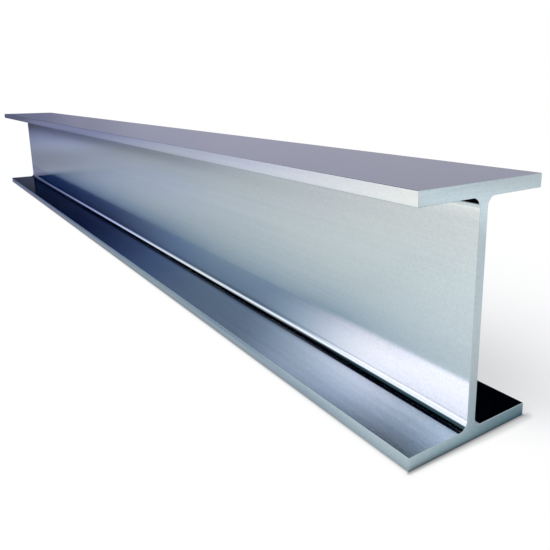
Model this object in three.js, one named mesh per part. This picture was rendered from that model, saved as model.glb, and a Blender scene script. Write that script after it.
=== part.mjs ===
// Hot-rolled steel I-beam: one parallel-flange section, rolled in one piece and sawn square at both ends.
//
// The beam lies along X and stands on its lower flange, with +Z up. The origin is at the middle of its
// length, on the underside of the lower flange and under the centre of the web. All sizes are in millimetres.

import * as THREE from 'three';

// Rolled section
const sectionDepth = 160; // over the outer faces of both flanges
const flangeWidth = 103;
const flangeThickness = 8.8;
const webThickness = 7;
const rootRadius = 6; // fillet where the web runs into a flange
const toeRadius = 0.8; // rounding that the rolls leave on each long corner of a flange

// Cut length
const beamLength = 1340;
const deburr = 0.4; // chamfer filed round each sawn end

const arcDivisions = 6; // an arc is drawn with twice as many chords

const rolledSteel = new THREE.MeshStandardMaterial({
  name: 'rolled_steel',
  color: new THREE.Color(0.6, 0.63, 0.68),
  metalness: 1,
  roughness: 0.3,
});

// Adds a quarter circle round (y, z) that turns from one angle to another, both given in quarter turns.
// A clockwise turn makes a hollow fillet, and the other way makes a rounded corner.
function quarterArc(outline, y, z, radius, fromQuarter, toQuarter) {
  const clockwise = toQuarter < fromQuarter;
  outline.absarc(y, z, radius, (fromQuarter * Math.PI) / 2, (toQuarter * Math.PI) / 2, clockwise);
}

// The rolled section in the YZ plane, drawn anticlockwise from the lower right toe.
function rolledSection() {
  const toeFace = flangeWidth / 2;
  const webFace = webThickness / 2;
  const lowerInside = flangeThickness; // upper face of the lower flange
  const upperInside = sectionDepth - flangeThickness; // underside of the upper flange
  const toeCentre = toeFace - toeRadius;
  const rootCentre = webFace + rootRadius;
  const section = new THREE.Shape();

  // Right-hand half, going up
  quarterArc(section, toeCentre, toeRadius, toeRadius, -1, 0);
  quarterArc(section, toeCentre, lowerInside - toeRadius, toeRadius, 0, 1);
  quarterArc(section, rootCentre, lowerInside + rootRadius, rootRadius, 3, 2);
  quarterArc(section, rootCentre, upperInside - rootRadius, rootRadius, 2, 1);
  quarterArc(section, toeCentre, upperInside + toeRadius, toeRadius, -1, 0);
  quarterArc(section, toeCentre, sectionDepth - toeRadius, toeRadius, 0, 1);

  // Left-hand half, coming down
  quarterArc(section, -toeCentre, sectionDepth - toeRadius, toeRadius, 1, 2);
  quarterArc(section, -toeCentre, upperInside + toeRadius, toeRadius, 2, 3);
  quarterArc(section, -rootCentre, upperInside - rootRadius, rootRadius, 1, 0);
  quarterArc(section, -rootCentre, lowerInside + rootRadius, rootRadius, 0, -1);
  quarterArc(section, -toeCentre, lowerInside - toeRadius, toeRadius, 1, 2);
  quarterArc(section, -toeCentre, toeRadius, toeRadius, 2, 3);
  return section;
}

// The section run out to the cut length. The deburred edge lies inside the section and inside the length.
function cutBeam() {
  const geometry = new THREE.ExtrudeGeometry(rolledSection(), {
    depth: beamLength - 2 * deburr,
    curveSegments: arcDivisions,
    bevelEnabled: true,
    bevelThickness: deburr,
    bevelSize: deburr,
    bevelOffset: -deburr,
    bevelSegments: 1,
  });
  const beam = new THREE.Mesh(geometry, rolledSteel);
  beam.name = 'i_beam';
  beam.rotation.set(Math.PI / 2, Math.PI / 2, 0); // drawn Y and Z become the part's, and the run goes along +X
  beam.position.x = -beamLength / 2 + deburr;
  return beam;
}

const steelIBeam = new THREE.Group();
steelIBeam.name = 'steel_i_beam';
steelIBeam.add(cutBeam());

export default steelIBeam;
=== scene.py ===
# %% [markdown]
# # A rolled steel I-beam
#
# The object is one bar of steel. It was squeezed between rollers while it was red hot, so its section is
# the same all the way along, and then it was sawn square to length. This file dresses that bar: it gives
# it a smooth mesh, a steel surface, a floor to lie on and a small photographic studio to shine in.
#
# Steel has almost no colour of its own. What the eye sees on it is the room around it, so most of the work
# below goes into the things that the beam reflects.

# %% Load the packed part
import math
from collections import namedtuple

import bmesh
import bpy
from mathutils import Matrix, Vector


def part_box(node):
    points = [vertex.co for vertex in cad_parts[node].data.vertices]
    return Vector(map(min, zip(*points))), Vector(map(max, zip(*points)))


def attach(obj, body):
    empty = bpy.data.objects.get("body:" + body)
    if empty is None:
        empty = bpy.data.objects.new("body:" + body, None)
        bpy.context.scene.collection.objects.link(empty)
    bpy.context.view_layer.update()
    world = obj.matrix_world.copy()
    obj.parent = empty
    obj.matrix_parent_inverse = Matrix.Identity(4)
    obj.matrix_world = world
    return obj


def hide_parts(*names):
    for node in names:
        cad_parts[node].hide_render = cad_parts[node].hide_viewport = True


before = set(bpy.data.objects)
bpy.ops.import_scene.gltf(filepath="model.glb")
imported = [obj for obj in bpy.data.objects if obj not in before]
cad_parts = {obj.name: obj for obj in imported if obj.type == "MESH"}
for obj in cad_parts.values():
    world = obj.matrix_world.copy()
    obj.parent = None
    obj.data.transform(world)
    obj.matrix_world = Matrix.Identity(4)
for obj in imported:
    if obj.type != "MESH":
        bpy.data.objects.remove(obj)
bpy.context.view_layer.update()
low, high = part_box("i_beam")
half_length = high.x
half_width = high.y
depth = high.z - low.z
print(f"beam {2 * half_length:.3f} m long, {2 * half_width:.3f} m wide and {depth:.3f} m deep")

# %% [markdown]
# ## Camera
#
# The camera stands close to one end, a little above the beam and in front of it, so the near end is large
# and the far end runs away to a quarter of the size. That strong perspective is what makes a short piece of
# stock look like a long one. The lens is a moderate wide angle. A Track To constraint could aim the camera
# at the beam, but three turns in a row also say how it is rolled.

# %% Place the camera
camera_past_end = 0.2048
camera_in_front = 0.2619
camera_height = 0.2103
heading = math.radians(145.89)  # turned from +X towards +Y
tilt = math.radians(-12.97)
roll = math.radians(-0.63)
quarter_turn = math.radians(90)
sensor_width = 36
focal_length = 38.22
lens_shift = (-0.0455, -0.0941)
nearest_seen = 0.01

camera_data = bpy.data.cameras.new("camera")
camera_data.sensor_width = sensor_width
camera_data.lens = focal_length
camera_data.shift_x, camera_data.shift_y = lens_shift
camera_data.clip_start = nearest_seen
camera = bpy.data.objects.new("camera", camera_data)
bpy.context.collection.objects.link(camera)
camera.matrix_world = (
    Matrix.Translation((half_length + camera_past_end, -camera_in_front, camera_height))
    @ Matrix.Rotation(heading - quarter_turn, 4, "Z")
    @ Matrix.Rotation(quarter_turn + tilt, 4, "X")
    @ Matrix.Rotation(roll, 4, "Z")
)
bpy.context.scene.camera = camera
bpy.context.scene.view_settings.view_transform = "Standard"
print("camera at", tuple(round(value, 3) for value in camera.location))

# %% [markdown]
# ## The rolled section
#
# The rollers leave four hollow fillets where the web meets the flanges, and they round the long corners of
# the flanges a little. A mirror-like metal shows every facet, so these curves need many more steps here
# than in the packed part. Three joined boxes would give the same outline, but the fillets between them would
# need cutters of their own. So the section is drawn as one flat face with square corners, the corners are
# rounded with bevel, and the face is extruded along the beam, much as the mill makes it.

# %% Draw the section
flange_thickness = 0.0088
web_thickness = 0.007
root_radius = 0.006
toe_radius = 0.0003
root_steps = 20
toe_steps = 6
end_rounding = 0.0003
web_side = web_thickness / 2
fillet_end = web_side + root_radius  # how far out from the middle of the web
same_place = 1e-6


def is_root(vert):
    """Says whether a corner of the square outline is where the web meets a flange."""
    return math.isclose(abs(vert.co.y), web_side, abs_tol=same_place)


def round_corners(bm, corners, radius, steps):
    bmesh.ops.bevel(
        bm,
        geom=corners,
        offset=radius,
        offset_type="OFFSET",
        affect="VERTICES",
        segments=steps,
        profile=0.5,
        material=-1,
    )


def draw_section():
    """One flat I-shaped face at the back end of the beam."""
    bm = bmesh.new()
    right_half = [
        (half_width, 0),
        (half_width, flange_thickness),
        (web_side, flange_thickness),
        (web_side, depth - flange_thickness),
        (half_width, depth - flange_thickness),
        (half_width, depth),
    ]
    left_half = [(-y, z) for y, z in reversed(right_half)]
    outline = [bm.verts.new((end_rounding - half_length, y, z)) for y, z in right_half + left_half]
    bm.faces.new(outline)
    roots = [vert for vert in bm.verts if is_root(vert)]
    toes = [vert for vert in bm.verts if not is_root(vert)]
    round_corners(bm, roots, root_radius, root_steps)
    round_corners(bm, toes, toe_radius, toe_steps)
    return bm


section = draw_section()
print("section has", len(section.verts), "points")

# %% [markdown]
# ## The cut bar
#
# The flat face is extruded in one pull. A file takes the sharp edge off every sawn end, and the rounded edge
# that it leaves catches a thin line of light. Bevel would stumble over the tiny steps of the toes, so each
# end is inset a few times instead, a little further out each time, along a quarter circle.

# %% Extrude and round the ends
end_steps = 3
nearly_square = 0.99  # how far a face's normal has to point along the bar to count as a sawn end


def extrude_bar(bm):
    pulled = bmesh.ops.extrude_face_region(bm, geom=bm.faces[:])
    moved = [item for item in pulled["geom"] if isinstance(item, bmesh.types.BMVert)]
    bmesh.ops.translate(bm, vec=(2 * (half_length - end_rounding), 0, 0), verts=moved)
    bmesh.ops.recalc_face_normals(bm, faces=bm.faces)


def round_end(bm, side):
    """Insets one end along a quarter circle, from the full outline to the flat sawn face."""
    end = [face for face in bm.faces if face.normal.x * side > nearly_square]
    turned = [quarter_turn * step / end_steps for step in range(end_steps + 1)]
    for before, after in zip(turned, turned[1:]):
        inward = end_rounding * (math.cos(before) - math.cos(after))
        outward = end_rounding * (math.sin(after) - math.sin(before))
        bmesh.ops.inset_region(bm, faces=end, thickness=inward, depth=0, use_even_offset=True)
        verts = {vert for face in end for vert in face.verts}
        bmesh.ops.translate(bm, vec=(outward * side, 0, 0), verts=list(verts))


extrude_bar(section)
for side in (-1, 1):
    round_end(section, side)
print("the bar has", len(section.faces), "faces")

# %% [markdown]
# The faces are still as long as the bar and a hair wide, and such slivers shade badly. Cross cuts divide
# them. Bisect adds edges without moving anything, where Subdivide would also split the short edges of the
# fillets. The slivers that a cut leaves beside an existing edge are dissolved.

# %% Divide the bar
bar_divisions = 26
on_the_cut = 1e-7
sliver = 0.000002


def cut_across(bm, point, normal):
    everything = bm.verts[:] + bm.edges[:] + bm.faces[:]
    bmesh.ops.bisect_plane(bm, geom=everything, plane_co=point, plane_no=normal, dist=on_the_cut)


def divide_bar(bm):
    """Cross cuts along the bar, and cuts that split each I-shaped end into plain strips."""
    for step in range(1, bar_divisions):
        x = -half_length + 2 * half_length * step / bar_divisions
        cut_across(bm, (x, 0, 0), (1, 0, 0))
    for y in (-fillet_end, fillet_end):
        cut_across(bm, (0, y, 0), (0, 1, 0))
    fillet_up = flange_thickness + root_radius
    for z in (fillet_up, depth - fillet_up):
        cut_across(bm, (0, 0, z), (0, 0, 1))
    bmesh.ops.dissolve_degenerate(bm, dist=sliver, edges=bm.edges[:])


divide_bar(section)
print("the divided bar has", len(section.faces), "faces")

# %% [markdown]
# The mesh becomes an object that rides on the body of the packed beam and takes its place. Smooth shading
# alone would make the flat faces look bulged beside their roundings. A Weighted Normal modifier lets the
# large flat faces decide, which needs no extra edges.

# %% Finish the beam
favour_large_faces = 100  # 50 would be neutral


def finish_piece(bm, name):
    mesh = bpy.data.meshes.new(name)
    bm.to_mesh(mesh)
    bm.free()
    mesh.shade_smooth()
    piece = bpy.data.objects.new(name, mesh)
    bpy.context.collection.objects.link(piece)
    fit = piece.modifiers.new("flat faces stay flat", "WEIGHTED_NORMAL")
    fit.mode = "FACE_AREA"
    fit.weight = favour_large_faces
    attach(piece, "root")
    return piece


beam = finish_piece(section, "rolled_beam")
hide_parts("i_beam")
print("beam has", len(beam.data.polygons), "faces")

# %% [markdown]
# ## Shader maths
#
# A node tree is easier to read as arithmetic. `Wire` wraps the output socket of a node, so that
# `1 - mask * 0.5` adds the two Math nodes it needs, and `Shader.node` adds any other node.
#
# Nearly everything below is a mask, a value from 0 to 1 that says where something is. A mask is made from a
# measure: `ramp` rises softly between two limits, `fall` drops between them, and `band` does one and then
# the other. The limits are in the unit of the measure, which is metres, millimetres or degrees.

# %% Make wires that can be used in a sum


class Wire:
    """An output socket that can be used in a sum."""

    def __init__(self, shader, socket):
        self.shader = shader
        self.socket = socket

    def __add__(self, other):
        return self.shader.math("ADD", self, other)

    def __sub__(self, other):
        return self.shader.math("SUBTRACT", self, other)

    def __rsub__(self, other):
        return self.shader.math("SUBTRACT", other, self)

    def __mul__(self, other):
        return self.shader.math("MULTIPLY", self, other)

    def __truediv__(self, other):
        return self.shader.math("DIVIDE", self, other)

    def __abs__(self):
        return self.shader.math("ABSOLUTE", self)

    def __neg__(self):
        return self.shader.math("MULTIPLY", self, -1)

    __radd__ = __add__
    __rmul__ = __mul__

    def larger(self, other):
        return self.shader.math("MAXIMUM", self, other)

    def smaller(self, other):
        return self.shader.math("MINIMUM", self, other)

    def fade(self, reach):
        """1 at nothing, and about a third of what is left after each further reach."""
        return self.shader.math("EXPONENT", self / -reach)

    def ramp(self, start, end, at_start=0.0, at_end=1.0):
        """Goes smoothly from one value to another between two limits."""
        settings = {"interpolation_type": "SMOOTHSTEP"}
        values = {"Value": self, "From Min": start, "From Max": end, "To Min": at_start, "To Max": at_end}
        return self.shader.node("ShaderNodeMapRange", settings, values)

    def fall(self, start, end):
        return 1 - self.ramp(start, end)

    def band(self, rise, fall):
        """Rises between one pair of limits, and falls again between another."""
        return self.ramp(*rise) * self.fall(*fall)


helpers = [name for name in vars(Wire) if not name.startswith("_")]
print("besides sums, a wire knows", ", ".join(helpers))

# %% [markdown]
# One method adds any node. Its settings and the values of its sockets are given by name, so a node can be
# read here the way it looks in the Shader Editor.

# %% Add nodes


class Shader:
    """The node tree of a material or of the world."""

    def __init__(self, owner):
        owner.use_nodes = True
        self.tree = owner.node_tree
        self.tree.nodes.clear()

    def node(self, kind, settings=None, values=None, output=0):
        """Adds a node: its settings first, then a number, a colour or a wire for each socket."""
        made = self.tree.nodes.new(kind)
        for name, setting in (settings or {}).items():
            if name == "stops":
                self.set_stops(made.color_ramp, setting)
            else:
                setattr(made, name, setting)
        for name, value in (values or {}).items():
            if isinstance(value, Wire):
                self.tree.links.new(value.socket, made.inputs[name])
            else:
                made.inputs[name].default_value = value
        if made.outputs:
            return Wire(self, made.outputs[output])

    def set_stops(self, ramp, stops):
        ramp.interpolation = "EASE"
        for place, colour in stops[1:-1]:
            ramp.elements.new(place).color = colour
        for element, (place, colour) in zip((ramp.elements[0], ramp.elements[-1]), (stops[0], stops[-1])):
            element.position = place
            element.color = colour

    def math(self, operation, *values):
        return self.node("ShaderNodeMath", {"operation": operation}, dict(enumerate(values)))

    def blend(self, amount, first, second, kind="MIX"):
        """Mixes two colours. The colour sockets of a Mix node are the ones numbered 6 and 7."""
        settings = {"data_type": "RGBA", "blend_type": kind}
        return self.node("ShaderNodeMix", settings, {0: amount, 6: first, 7: second}, output=2)

    def tinted(self, colour, tint):
        """Red times red, green times green and blue times blue."""
        return self.blend(1.0, colour, tint, "MULTIPLY")

    def axis(self, vector, name):
        return self.node("ShaderNodeSeparateXYZ", {}, {"Vector": vector}, output=name)

    def ray(self, question):
        """What kind of ray has arrived here, or how often it has bounced."""
        return self.node("ShaderNodeLightPath", output=question)

    def noise(self, place, stretch, detail=2.0, rough=0.5):
        """Noise with so many blotches to the metre along each axis of the piece."""
        mapped = self.node("ShaderNodeMapping", {}, {"Vector": place, "Scale": stretch})
        values = {"Vector": mapped, "Scale": 1.0, "Detail": detail, "Roughness": rough}
        return self.node("ShaderNodeTexNoise", {}, values)


print("nodes can also be added by", ", ".join(name for name in vars(Shader) if not name.startswith("_")))

# %% [markdown]
# ## Rolled steel
#
# Clean steel is a slightly blurred mirror. A metallic value of 1 makes its base colour the share of each
# colour that it gives back, a little less red than blue, and its roughness says how soft the mirror image
# is. The flanges come off flatter rollers than the web, so they mirror more sharply.
#
# Nothing rolled is perfectly even, and four faint marks say so. The rollers draw out lines along the bar,
# so their noise is stretched hundreds of times along X. Grinding leaves a grain of about a millimetre.
# Handling leaves wide, weak clouds. The saw crosses the ends in fine straight strokes.
#
# Where the web meets a flange no brush gets in, and dark mill scale stays in the corner, painted together
# with the shade of the corner. Beside each root it is a soft band, made thinner towards the near end, with a
# thin painted dark line at the fillet's other end. Deep in the root under the top flange it is a nearly
# black painted shadow.
#
# Painted image textures could carry these marks. Noise and masks that are worked out from the place on the
# bar need no unwrapping, have no seams, keep their true size and stay in step with the shape.

# %% Choose the steel's colours and noises
grey_steel = (0.56, 0.63, 0.645, 1)
blue_steel = (0.515, 0.59, 0.64, 1)
pale_steel = (0.62, 0.70, 0.725, 1)
line_stretch = (1.5, 260, 260)
grain_stretch = (750, 750, 750)
cloud_stretch = (6, 18, 18)
saw_stretch = (1, 25, 1400)
noise_spread = (0.3, 0.7)  # nearly all of a noise lies between these
line_spread = (0.3, 0.75)
cloud_spread = (0.35, 0.65)
line_share = 0.35
grain_share = 0.65
print(f"the steel gives back {grey_steel[0]:.0%} of the red and {grey_steel[2]:.0%} of the blue")

# %% [markdown]
# The scale and the painted root shade are measured in millimetres from where a fillet begins or ends.
# `across` is the distance from the middle of the web and `from_middle` the distance from half height, so one
# mask serves all four roots.

# %% Mark the mill scale and the painted root shade
# Mill scale together with painted shade: the dark band and the painted dark line beside each root.
root_scale_and_shade = (0.02, 0.04, 0.08, 1)
# A nearly black painted shadow, deep in the root under the top flange.
root_corner_shade = (0.003, 0.005, 0.008, 1)
millimetre = 0.001
band_in_depth = ((-2, -0.5), (2, 5))  # millimetres into the flange, where the band begins and ends
band_in_width = ((-1, 0), (1, 5.5))  # millimetres past the fillet
cover_drops = (0.6, 1.8)
band_cover = (0.85, 0.5)  # in the corner and further out
line_in_fillet = ((-0.4, 0.8), (1.2, 2.4))  # millimetres past the web's end of the fillet
line_darkness = 0.5
line_ends_at = (0.4, 0.55)  # metres from the middle of the beam
# The band of scale and painted shade is made thinner towards the near end.
thinning_share = 0.45
thinning_at = (0.45, 0.6)  # metres towards the near end
thinning_from = (0.5, 1.5)
# Where that painted shadow lies, in the root under the top flange.
deepest_root = (-0.72, -0.58)  # in fillet radii from the inside of the flange
top_stays_unshaded = (-4, -2)  # millimetres from the top face
corner_shade_ends = (0, 2)
flange_inside = depth / 2 - flange_thickness
fillet_top = flange_inside - root_radius


def find_root_scale_and_shade(x, from_middle, past_fillet):
    """A soft band of scale and painted shade inside each flange by the fillet, and a painted dark line at
    its other end.
    """
    into_flange = (from_middle - flange_inside) / millimetre
    into_fillet = (from_middle - fillet_top) / millimetre
    band = into_flange.band(*band_in_depth) * past_fillet.band(*band_in_width)
    band = band * past_fillet.ramp(*cover_drops, *band_cover)
    thinning = x.ramp(*thinning_at) * past_fillet.ramp(*thinning_from)
    thin = into_fillet.band(*line_in_fillet) * abs(x).fall(*line_ends_at)
    return (band * (1 - thinning_share * thinning)).larger(line_darkness * thin)


def find_upper_root_shade(z, past_fillet):
    """A nearly black painted shadow, deep in the root under the top flange."""
    up_fillet = (z - (depth - flange_thickness)) / root_radius
    below_top = (z - depth) / millimetre
    return up_fillet.ramp(*deepest_root) * below_top.fall(*top_stays_unshaded) * past_fillet.fall(*corner_shade_ends)


print("the scale begins", round(fillet_end / millimetre, 1), "mm from the middle of the web")

# %% [markdown]
# One Principled node makes the surface. The marks only bend its colour, its roughness and, through a bump a
# few hundredths of a millimetre high, its slope. Real grooves that fine would need millions of faces.

# %% Make the steel
line_roughness = (0.10, 0.12)
saw_roughness = (0.02, 0.08)
grain_roughness = 0.03
flange_polish = 0.045
end_begins = (-0.5, -0.3)  # millimetres
flange_begins_out = (0.5, 4.5)  # millimetres out from the web
flange_begins_up = (-5.2, 0.8)  # millimetres past the web's end of the fillet
bump_height = 0.00004
bump_strength = 0.25


def make_steel():
    material = bpy.data.materials.new("rolled_steel")
    shader = Shader(material)
    place = shader.node("ShaderNodeTexCoord", output="Object")
    x, y, z = (shader.axis(place, name) for name in "XYZ")
    across = abs(y)
    from_middle = abs(z - depth / 2)
    past_fillet = (across - fillet_end) / millimetre
    past_web = (across - web_side) / millimetre
    into_fillet = (from_middle - fillet_top) / millimetre
    past_end = (abs(x) - half_length) / millimetre
    on_end = past_end.ramp(*end_begins)
    on_side = 1 - on_end
    on_flange = past_web.ramp(*flange_begins_out).larger(into_fillet.ramp(*flange_begins_up))

    lines = shader.noise(place, line_stretch, detail=3.0, rough=0.6)
    grain = shader.noise(place, grain_stretch, detail=2.0, rough=0.7)
    clouds = shader.noise(place, cloud_stretch)
    saw = shader.noise(place, saw_stretch, detail=1.0)

    marks = line_share * lines.ramp(*line_spread) + grain_share * grain.ramp(*noise_spread)
    colour = shader.blend(clouds.ramp(*cloud_spread), blue_steel, grey_steel)
    colour = shader.blend(marks, colour, pale_steel)
    # Mill scale with painted shade beside each root, and a painted dark line above the fillet.
    colour = shader.blend(on_side * find_root_scale_and_shade(x, from_middle, past_fillet), colour, root_scale_and_shade)
    # The nearly black painted shadow deep in the root under the top flange.
    colour = shader.blend(on_side * find_upper_root_shade(z, past_fillet), colour, root_corner_shade)
    roughness = lines.ramp(*noise_spread, *line_roughness) - flange_polish * on_flange
    roughness = roughness + grain_roughness * (grain - 0.5)
    roughness = roughness + on_end * saw.ramp(*noise_spread, *saw_roughness)
    relief = grain * on_side + saw * on_end
    bump = {"Height": relief, "Distance": bump_height, "Strength": bump_strength}
    values = {
        "Base Color": colour,
        "Metallic": 1.0,
        "Roughness": roughness,
        "Normal": shader.node("ShaderNodeBump", {}, bump),
    }
    surface = shader.node("ShaderNodeBsdfPrincipled", {}, values)
    shader.node("ShaderNodeOutputMaterial", {}, {"Surface": surface})
    return material


steel = make_steel()
beam.data.materials.append(steel)
print("the steel has", len(steel.node_tree.nodes), "nodes")

# %% [markdown]
# ## The studio
#
# A photographer lights polished metal by choosing what it mirrors. Cards and lamps could stand round the
# beam as glowing planes, but each of them would also throw light and speckle everywhere else. Painting them
# on the world by direction keeps every edge soft, and puts each thing where one part of the bar shows it:
#
# - A far wall, pale to both sides and nearly black straight past the far end, so that the flange runs off
#   into deep blue while the top keeps an even grey.
# - Black flags above the wall, one in front and two behind. They draw the dark band beside the root, and
#   they blacken the flange behind the web.
# - A white card, low down along the front and leaning back, for the bright line in the root.
# - A softbox beside the near end, for the gleam low on the web and on the near flange.
# - Narrow gaps in that gleam, and a faint glint beyond it, where one mirror image ends and the next begins.
# - A thin haze, so that the deepest blue isn't quite black.
#
# A direction is told by four numbers. Its bearing is 0 past the far end, 90 in front and -90 behind. Its
# height is counted up from the horizon. Its slope is how far it rises for each step sideways. Its cone is
# the angle from the direction of the far end: no long face of the bar changes that angle when it mirrors a
# ray, so whatever is painted by cone changes along the bar in step on all its faces. Slope is a plain
# number, and the other three are in degrees.
#
# The web mirrors the flange and the flange mirrors the web. A studio would use narrow cards to light the
# first mirror image and the second one apart, and the Light Path node does it here by counting them.

# %% Read a direction
degree = math.radians(1)
least_sideways = 0.02
rim_begins = (0.8, 0.95)  # slope
rim_ends = (30, 36)  # cone
Ray = namedtuple("Ray", "bearing height cone slope in_front first second on_rim")


def from_image(shader, count):
    """0 for mirror images before this one, and 1 from this one on."""
    return shader.ray("Glossy Depth").ramp(count - 1, count)


def read_ray(shader):
    """The direction of a ray that has left the steel, and which mirror image it belongs to."""
    direction = shader.node("ShaderNodeTexCoord", output="Generated")
    x, y, z = (shader.axis(direction, name) for name in "XYZ")
    bearing = shader.math("ARCTAN2", -y, -x) / degree
    height = shader.math("ARCSINE", z) / degree
    cone = shader.math("ARCCOSINE", -x) / degree
    slope = z / abs(y).larger(least_sideways)
    in_front = bearing.ramp(-1, 1)
    second = from_image(shader, 2) * in_front
    on_rim = slope.ramp(*rim_begins) * cone.fall(*rim_ends) * second
    return Ray(bearing, height, cone, slope, in_front, in_front - second, second, on_rim)


print("a ray is read as", ", ".join(Ray._fields))

# %% [markdown]
# ### Wall
#
# The wall is a row of colour stops by bearing. The first image shows it straight ahead, where it is almost
# black, and the second one sees it by cone, so it grows paler towards the near end. The rim of the flange
# sees a steeper part of the room than the rest, and there the wall is read two degrees further on, which
# keeps the flange even from root to rim. A few soft stops do what a whole painted picture would do, and each
# can be moved on its own.

# %% Paint the wall
wall_from, wall_to = -60, 50
wall_stops = (
    (-45, (0.405, 0.39, 0.48, 1)),
    (-28, (0.39, 0.38, 0.475, 1)),
    (-20, (0.35, 0.35, 0.455, 1)),
    (-14, (0.265, 0.265, 0.37, 1)),
    (-10, (0.165, 0.175, 0.275, 1)),
    (-5, (0.03, 0.04, 0.10, 1)),
    (3, (0.0, 0.0, 0.01, 1)),
    (13, (0.0, 0.0, 0.003, 1)),
    (20, (0.001, 0.005, 0.06, 1)),
    (23, (0.025, 0.045, 0.15, 1)),
    (26, (0.09, 0.135, 0.295, 1)),
    (31, (0.20, 0.255, 0.37, 1)),
    (35, (0.245, 0.295, 0.42, 1)),
    (41.5, (0.69, 0.74, 0.92, 1)),
    (50, (0.67, 0.94, 1.28, 1)),
)
wall_sides = ((-85, -60), (40, 60))  # bearing
wall_top = (40, 60)  # height
rim_shift = 2.2


def paint_wall(shader, room, ray):
    """A wall of moderate height, coloured by the angle along it."""
    along = ray.bearing + ray.in_front * (ray.cone - ray.bearing) + rim_shift * ray.on_rim
    along = along * (1 - ray.first)
    span = wall_to - wall_from
    stops = [((place - wall_from) / span, colour) for place, colour in wall_stops]
    colour = shader.node("ShaderNodeValToRGB", {"stops": stops}, {"Fac": (along - wall_from) / span})
    wall = ray.bearing.band(*wall_sides) * ray.height.fall(*wall_top)
    return shader.blend(wall, room, colour)


print("the wall has", len(wall_stops), "stops")

# %% [markdown]
# ### Flags
#
# Flag is a photographer's word for a sheet of black cloth. The edge of the front flag climbs with the
# bearing, which sets how wide the dark band is along the bar. All flags stop well below the ceiling, so a
# beam seen from above stays light. The front flag isn't equally black everywhere: it has a blue part for the
# far end of the root, and a teal one for the near end. Evenly black cloth would be simpler, but the root
# would look as if it had been inked in.

# %% Hang the flags
front_flag = (0.0003, 0.003, 0.012, 1)
near_flag = (0.035, 0.10, 0.135, 1)
far_flag = (0.06, 0.065, 0.135, 1)
back_flag = (0.0, 0.0004, 0.0015, 1)
edge_climb = 1.35  # degrees up for each degree of bearing
edge_start = -10.5
edge_rise_on_rim = 4
lowest_edge = 2.2
highest_edge = 27
wall_end_step = 12
back_edge_lean = 0.2


def paint_flags(shader, room, ray):
    """Black cloth above the wall. The front one's lower edge climbs, with a step at the wall's end."""
    bearing, height = ray.bearing, ray.height
    edge = (edge_climb * bearing + edge_rise_on_rim * ray.on_rim + edge_start).larger(lowest_edge)
    edge = edge + bearing.ramp(26, 36, 0, wall_end_step)
    above_edge = (height - edge.smaller(highest_edge)).ramp(-1, 7)
    below_ceiling = height.fall(50, 62)
    before_near_end = ray.cone.fall(57, 66)
    front = above_edge * below_ceiling * before_near_end * ray.in_front
    back_near = height.band((12, 20), (33, 41)) * bearing.band((-70, -60), (-34, -24))
    above_back_edge = (height + back_edge_lean * bearing).ramp(1.2, 9.2)
    back_far = above_back_edge * height.fall(14, 22) * bearing.ramp(-26, -16) * (1 - ray.in_front)
    far_end = ray.cone.fall(13, 20)
    near_end = ray.cone.ramp(42, 52)
    blue = far_end * ray.slope.ramp(1.4, 2.6) * ray.first
    teal = near_end * ray.slope.band((0.8, 1.4), (2.2, 3.7)) * ray.first
    cloth = shader.blend(teal, shader.blend(blue, front_flag, far_flag), near_flag)
    room = shader.blend(front, room, cloth)
    return shader.blend(back_near.larger(back_far), room, back_flag)


print("the front flag's edge hangs between", lowest_edge, "and", highest_edge, "degrees up")

# %% [markdown]
# ### Haze and card
#
# The haze is a little light that is added low down, where otherwise only black would be mirrored.
#
# The hollow fillet turns through a quarter circle, so it mirrors a whole arc of the room in a few
# millimetres, and a card anywhere in that arc draws a line all along the root. The card fades towards the
# far end, and its upper edge, which leans back, is what makes the line end softly. A line drawn on the steel
# itself would stay put when the camera moves, and give the trick away.

# %% Add the haze and the card
near_haze = (0.145, 0.17, 0.21, 1)
far_haze = (0.0, 0.016, 0.12, 1)
far_card = (1.4, 1.55, 3.0, 1)
near_card = (1.42, 1.42, 1.5, 1)
haze_lift = 0.035
near_boost = 1.4
card_lean = (0.9, -0.97)  # at the far end and at the near one
card_drop = 0.15  # how much lower the card's foot is at the near end


def add_haze(shader, room, ray):
    """It lies low, and reaches a little higher towards the near end."""
    slope = ray.slope + ray.cone.ramp(18, 28, haze_lift, 0)
    low_down = slope.fall(0.72, 0.80)
    more_at_near_end = ray.cone.ramp(34, 41, 1, near_boost)
    haze = low_down * more_at_near_end * ray.second
    colour = shader.blend(ray.cone.ramp(13, 25), far_haze, near_haze)
    return shader.blend(haze, room, colour, "ADD")


def paint_card(shader, room, ray):
    """It leans back, so its top edge shows more towards the far end."""
    lean = 1 + ray.slope.ramp(0.3, 0.85) * ray.cone.ramp(12, 45, *card_lean)
    low_edge = (ray.slope + ray.cone.ramp(32, 42, 0, card_drop)).ramp(0, 0.2)
    top_edge = ray.slope.fall(0.95, 1.7)
    near_edge = ray.bearing.fall(60, 75)
    more_at_near_end = ray.cone.ramp(32, 44, 1, near_boost)
    card = ray.cone.ramp(8.5, 37) * more_at_near_end * lean * low_edge
    card = card * top_edge * near_edge * ray.first
    return shader.blend(card, room, shader.blend(ray.cone.ramp(10, 30), far_card, near_card))


print("the card glows up to", max(far_card))

# %% [markdown]
# ### Softbox
#
# The softbox only shows where the web mirrors the flange and the flange mirrors the web. Its light changes
# colour towards the near end, and it dips a little just before the end. Two narrow gaps are cut out of it:
# one darkens the flange right beside the root, and the other the web where it mirrors the flange's rim.
# Without them the gleam would run straight on from face to face, and hide where they meet. Further along the
# bar, where the softbox doesn't reach, the mirrored rim is drawn by a faint glint instead.

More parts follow.
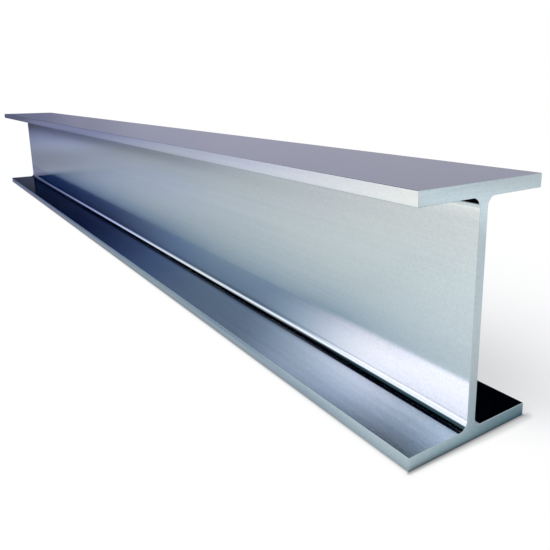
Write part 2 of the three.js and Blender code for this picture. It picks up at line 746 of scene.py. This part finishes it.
# %% Switch on the softbox
low_softbox = (2.95, 2.4, 2.5, 1)
high_softbox = (2.9, 2.45, 2.95, 1)
end_softbox = (2.9, 3.25, 4.0, 1)
near_glint = (0.12, 0.15, 0.14, 1)
far_glint = (0.02, 0.06, 0.14, 1)
low_level = 0.8  # of the light, at the foot of the box
dip_depth = 0.3
root_gap_depth = 0.8
root_gap_slopes = ((0.78, 0.79), (0.806, 0.822))
rim_gap_depth = 0.52
rim_gap_slopes = ((0.6, 0.64), (0.665, 0.684))


def paint_softbox(shader, room, ray):
    """A glowing box beside the near end, with two gaps, and the glint beyond it."""
    cone, slope = ray.cone, ray.slope
    far_edge = cone.ramp(39, 48.5)
    near_edge = ray.bearing.fall(72, 80)
    brighter_upwards = slope.ramp(0.25, 0.62, low_level, 1)
    top_edge = slope.fall(0.66, 1.0)
    dip = slope.ramp(0.76, 0.82) * cone.band((48, 53), (53.5, 58))
    box = far_edge * brighter_upwards * top_edge * (1 - dip_depth * dip) * near_edge * ray.second
    high = shader.blend(cone.ramp(49, 56), high_softbox, end_softbox)
    room = shader.blend(box, room, shader.blend(slope.ramp(0.74, 0.85), low_softbox, high))
    root = slope.band(*root_gap_slopes) * ray.second
    rim = slope.band(*rim_gap_slopes) * ray.second
    root_gap = root * cone.ramp(38, 52, 0, root_gap_depth)
    rim_gap = rim * cone.ramp(34, 42, 0, rim_gap_depth) * cone.fall(47, 54)
    room = shader.blend(root_gap.larger(rim_gap), room, front_flag)
    glint = shader.blend(cone.ramp(18, 30), far_glint, near_glint)
    return shader.blend(rim * cone.fall(34, 39), room, glint, "ADD")


print("the softbox glows up to", max(end_softbox))

# %% [markdown]
# ### The world
#
# Each kind of ray gets its own picture. The camera looks past the studio into plain white, and mirror
# images see the painted room. Everything else sees a dim blue, which is the soft light that fills the
# shadow on the floor. Two faces of the bar can mirror each other without end, and the light that is left
# after two images is mostly noise, so the room goes dark at the third.

# %% Make the world
white = (1, 1, 1, 1)
low_grey = (0.50, 0.49, 0.55, 1)
high_grey = (0.90, 0.90, 0.92, 1)
soft_blue = (0.17, 0.19, 0.22, 1)


def paint_room(shader):
    """The whole studio, from the soft greys at the back to the front."""
    ray = read_ray(shader)
    room = shader.blend(ray.height.ramp(5, 45), low_grey, high_grey)
    for paint in (paint_wall, paint_flags, add_haze, paint_card, paint_softbox):
        room = paint(shader, room, ray)
    return room


def make_world():
    world = bpy.data.worlds.new("white studio")
    bpy.context.scene.world = world
    world.cycles.sampling_method = "NONE"
    shader = Shader(world)
    mirrored = shader.ray("Is Glossy Ray")
    seen = shader.ray("Is Camera Ray").larger(mirrored).larger(shader.ray("Is Transmission Ray"))
    view = shader.blend(mirrored, white, paint_room(shader))
    colour = shader.blend(seen, soft_blue, view)
    light = shader.node("ShaderNodeBackground", {}, {"Color": colour, "Strength": 1 - from_image(shader, 3)})
    shader.node("ShaderNodeOutputWorld", {}, {"Surface": light})
    return world


world = make_world()
print("the world has", len(world.node_tree.nodes), "nodes")

# %% [markdown]
# ## Floor
#
# The beam lies on plain white paper. The web mirrors the paper from the foot of the beam to several metres
# out, the toes mirror a few millimetres of it, and the sawn end mirrors the paper in front of it. So the
# light on the paper is what gives those faces their gradients.
#
# Lamps could make such a pool of light, but the same lamps would also print it on the paper that the camera
# sees. The paper therefore has two looks. For mirror images it carries the painted light: a pool around the
# near end, tinted from warm white to blue further off, a blue shade close to the beam, and a fine dark line
# where the sawn end touches it.
#
# All places are in metres. X runs along the beam towards its near end, and 0 is the middle. The front of the
# beam looks to -Y, and each height on the web mirrors the paper at its own distance in front. The pool fades
# both ways from a place beside the near end, and a few wide, soft changes make it as uneven as real lamps.

# %% Pour the pool of light
pool_at = 0.45
pool_reach = 1.7
pool_base = 0.08
pool_rise = 0.91
high_begins = (0.36, 0.48)  # metres out, to where the web mirrors the paper high up
high_drops = (0.49, 0.54)
high_drop = 0.6  # the part of the change that is gone further out
far_corner = (-1.7, -1.05, 0.5, 1)  # two limits, and the levels at them
top_gain = (0.52, 0.62, 1, 1.42)
top_light = (0.52, 0.62, 0, 0.12)
behind_gain = (0.42, 0.52, 1, 1.47)
far_behind_gain = (0.58, 0.92, 1, 0.8)


def pool_level(x, y, out):
    """How bright the paper is, at x along the beam and so far out from its middle line."""
    front = -y
    high_on_web = front.ramp(*high_begins) * (1 - high_drop * front.ramp(*high_drops))
    changes = (
        (0.5, x.fall(-1.8, -1.1) * out.fall(0.34, 0.42)),  # past the far end
        (-0.32, x.fall(-1.0, -0.5) * out.fall(0.08, 0.3)),  # beside the far end
        (-0.4, x.band((-3.4, -1.8), (-1.1, -0.2)) * high_on_web),
        (-0.4, x.fall(-3.0, -2.0) * out.band((0.4, 0.48), (0.52, 0.58))),  # the same at the web's far end
        (0.7, x.fall(-0.83, -0.76) * out.fall(0.045, 0.065)),  # just past the foot of the far end
        (0.14, x.band((0.4, 0.56), (0.62, 0.72))),  # beside the near end
    )
    level = pool_base + pool_rise * abs(x - pool_at).fade(pool_reach)
    for change, place in changes:
        level = level * (1 + change * place)
    level = level * (x + 4 * out).ramp(*far_corner)
    level = level * front.ramp(*top_gain) + front.ramp(*top_light)
    return level * y.ramp(*behind_gain) * y.ramp(*far_behind_gain)


print(f"the pool of light fades to a third in {pool_reach} m")

# %% [markdown]
# The pool is nearly white around the near end and bluer far off, where the paper gets less of the lamps and
# more of the room's own dim blue. Each tint is multiplied with the ones before it.

# %% Tint the pool
near_tint = (1.07, 1.055, 1.01, 1)
warm_tint = (1.08, 1.03, 1.01, 1)
rose_tint = (1.06, 1.025, 0.92, 1)
middle_tint = (0.945, 0.985, 1.2, 1)
far_tint = (0.65, 0.69, 1.08, 1)
high_near_tint = (1.06, 0.95, 0.885, 1)
high_far_tint = (1.1, 1.04, 1.02, 1)
behind_tint = (0.955, 1.0, 1.05, 1)
middle_begins = (-2.4, -1.0)  # along the beam, like the four below
near_begins = (-0.8, 0.3)
warm_begins = (-1.6, -1.0)
rose_turns_warm = (-0.3, 0.1)
high_turns_warm = (-1.8, -0.6)


def pool_colour(shader, x, y, out):
    """Warm white near the camera and blue towards the far end."""
    front = -y
    tint = shader.blend(x.ramp(*middle_begins), far_tint, middle_tint)
    tint = shader.blend(x.ramp(*near_begins), tint, near_tint)
    warm = front.ramp(0.25, 0.38) * out.fall(0.56, 0.64) * x.ramp(*warm_begins)
    warm_colour = shader.blend(x.ramp(*rose_turns_warm), rose_tint, warm_tint)
    tint = shader.tinted(tint, shader.blend(warm, white, warm_colour))
    behind = y.ramp(0, 0.3)
    tint = shader.tinted(tint, shader.blend(behind, white, behind_tint))
    high_on_web = front.ramp(0.54, 0.66)
    high = shader.blend(x.ramp(*high_turns_warm), high_far_tint, high_near_tint)
    return shader.blend(high_on_web, tint, shader.tinted(tint, high))


print(f"the farthest paper shows {far_tint[0] / far_tint[2]:.0%} as much red as blue")

# %% [markdown]
# Paper is darker close to something that stands on it, because that hides part of the light. It shows most
# low on the web and on the toes, which mirror the paper a few centimetres and a few millimetres out. Real
# shadows could do this too, but only with real lamps for the pool.

# %% Shade the paper at the foot of the beam
shade_tint = (0.14, 0.26, 0.42, 1)
foot_tint = (0.48, 0.53, 0.61, 1)
far_foot_tint = (0.45, 0.425, 0.51, 1)
end_foot_tint = (0.10, 0.42, 0.52, 1)
shade_reach = 0.085
far_shade_reach = 0.068
shade_begins = (-0.83, -0.72)  # along the beam
shade_widens = (-0.1, 0.3)  # further along it
far_half_level = 1.36
near_end_level = (0.44, 0.66, 0.8, 0.3)  # two limits, and the levels at them
even_shade = 0.022  # closer to the beam than this, the shade gets no darker
toe_level = (0.008, 0.0125, 1.12, 1.02)
fuller_by = 0.15
end_shade_reach = 0.015
front_end_shade = (-0.055, -0.02, 0.2, 0.5)  # from the front toe inwards
back_end_shade = (0, 0.06, 0, 0.3)  # and on to the back toe
toe_shade_ends = (0.0045, 0.0072)
toe_fade = 0.15  # the shade under the toe fades over this length, up to the near end
touch_reach = 0.0012
touch_depth = 0.8


def shade_at_foot(shader, x, y):
    """The blue shade that gathers where the beam stands on the paper."""
    beside = (abs(y) - half_width).larger((x - half_length).larger(0))
    reach = x.ramp(*shade_widens, far_shade_reach, shade_reach)
    along = x.ramp(*near_end_level) * x.ramp(*shade_widens, far_half_level, 1) * x.ramp(*shade_begins)
    shade = along * beside.larger(even_shade).fade(reach) * beside.ramp(*toe_level)
    fuller = x.band((0.35, 0.42), (0.46, 0.54)) * beside.fall(0.014, 0.03)
    shade = shade * (1 + fuller_by * fuller)
    end_shade = y.ramp(*front_end_shade) + y.ramp(*back_end_shade)
    end_shade = end_shade * beside.fade(end_shade_reach)
    colour = shader.blend(shade, white, shade_tint)
    colour = shader.tinted(colour, shader.blend(end_shade, white, end_foot_tint))
    under_toe = beside.fall(*toe_shade_ends) * (-y).ramp(0, 0.03)
    under_toe = under_toe * x.fall(half_length - toe_fade, half_length)
    toe_tint = shader.blend(x.ramp(*rose_turns_warm), far_foot_tint, foot_tint)
    return shader.blend(under_toe, colour, toe_tint)


def light_on_paper(shader, x, y):
    """What the steel mirrors. Only the first image shows it, like the card."""
    out = abs(y)
    past_end = x - half_length
    touch = past_end.larger(0).fade(touch_reach) * past_end.ramp(-0.001, 0)
    level = pool_level(x, y, out) * (1 - from_image(shader, 2)) * (1 - touch_depth * touch)
    colour = shader.tinted(pool_colour(shader, x, y, out), shade_at_foot(shader, x, y))
    return shader.tinted(colour, level)


print(f"the shade fades to a third in {shade_reach / millimetre:.0f} mm")

# %% [markdown]
# The camera sees white paper with a soft shadow. It would come out a little grey in daylight, so a glow is
# mixed in: all of it half a metre away, where the floor has to melt into the background, and less of it
# close to the beam, where the shadow lies. In front of the beam the glow stays stronger, because hardly any
# shadow falls there.
#
# The glow and the wide light would wash out the fine shadow right at the foot, so it is painted in: a thin
# contact line all round, and a short shadow in front of the sawn end.

# %% Paint what the camera sees
glow_reach = 0.45
floor_lift = 0.6
front_lift = 0.385
paper_contact = (0.4, 0.003)  # how dark, and how far it reaches
glow_contact = (0.6, 0.001)
end_contact = (0.4, 0.0012)
end_shadow_depth = 0.22
end_shadow_width = (0.0028, 0.0075)  # at the front toe, and from past the web on


def distance_from_beam(shader, x, y):
    out_x = (abs(x) - half_length).larger(0)
    out_y = (abs(y) - half_width).larger(0)
    return shader.math("SQRT", out_x * out_x + out_y * out_y)


def contact_shadow(away, dark, reach):
    """The thin dark line where the beam touches the paper."""
    return dark * away.fade(reach)


def shadow_past_end(x, y, away):
    """The short shadow in front of the sawn end, wider on the side away from the light."""
    width = y.ramp(-half_width, 0.03, *end_shadow_width)
    past_end = (x - half_length).ramp(-0.001, 0.001)
    soft = end_shadow_depth * (away / width).fall(0.35, 1.1)
    return past_end * (soft + contact_shadow(away, *end_contact))


def how_much_glow(x, y, away):
    in_front = (-y - half_width).ramp(-0.006, 0.004)
    past_end = (x - half_length).ramp(-0.002, 0.008) * y.fall(0, 0.08)
    return away.ramp(0, glow_reach, floor_lift + front_lift * in_front.larger(past_end), 1)


print(f"the glow is whole {glow_reach} m away from the beam")

# %% [markdown]
# The floor itself is one flat square, large enough for the view and for what the steel mirrors. Its surface
# mixes plain paper, which takes light and shadow, with the glow.

# %% Lay the floor
floor_half_size = 8


def make_paper():
    material = bpy.data.materials.new("white_paper")
    shader = Shader(material)
    place = shader.node("ShaderNodeTexCoord", output="Object")
    x, y = (shader.axis(place, name) for name in "XY")
    away = distance_from_beam(shader, x, y)
    camera_look = shader.tinted(white, 1 - shadow_past_end(x, y, away))
    look = shader.blend(shader.ray("Is Glossy Ray"), camera_look, light_on_paper(shader, x, y))
    paper_colour = shader.tinted(look, 1 - contact_shadow(away, *paper_contact))
    glow_colour = shader.tinted(camera_look, 1 - contact_shadow(away, *glow_contact))
    paper = shader.node("ShaderNodeBsdfDiffuse", {}, {"Color": paper_colour})
    glow = shader.node("ShaderNodeEmission", {}, {"Color": glow_colour})
    straight = shader.ray("Is Camera Ray").larger(shader.ray("Is Transmission Ray"))
    amount = straight * how_much_glow(x, y, away)
    surface = shader.node("ShaderNodeMixShader", {}, {0: amount, 1: paper, 2: glow})
    shader.node("ShaderNodeOutputMaterial", {}, {"Surface": surface})
    return material


def make_floor():
    bm = bmesh.new()
    bmesh.ops.create_grid(bm, x_segments=1, y_segments=1, size=floor_half_size)
    mesh = bpy.data.meshes.new("floor")
    bm.to_mesh(mesh)
    bm.free()
    floor = bpy.data.objects.new("floor", mesh)
    bpy.context.collection.objects.link(floor)
    mesh.materials.append(make_paper())
    return floor


floor = make_floor()
paper_nodes = floor.active_material.node_tree.nodes
print("floor is", 2 * floor_half_size, "m square, and its paper has", len(paper_nodes), "nodes")

# %% [markdown]
# ## Daylight
#
# One very wide, soft light comes over the photographer's shoulder. It only has to light the floor and cast
# the shadow behind the beam, so mirror images leave it out. An area lamp would light the paper unevenly. A
# sun with a wide angle is as soft, and gives every part of the floor the same light.

# %% Hang the light
daylight_level = 1.05 * math.pi
daylight_width = math.radians(60)
daylight_from = Vector((-0.1, -1.0, 1.2))


def hang_daylight():
    data = bpy.data.lights.new("daylight", "SUN")
    data.energy = daylight_level
    data.angle = daylight_width
    light = bpy.data.objects.new("daylight", data)
    light.rotation_euler = (-daylight_from).to_track_quat("-Z", "Y").to_euler()
    light.visible_glossy = False
    bpy.context.collection.objects.link(light)
    return light


daylight = hang_daylight()
print("daylight is", round(math.degrees(daylight.data.angle)), "degrees wide")

# %% [markdown]
# The dressed beam has to fill the same box as the packed part.
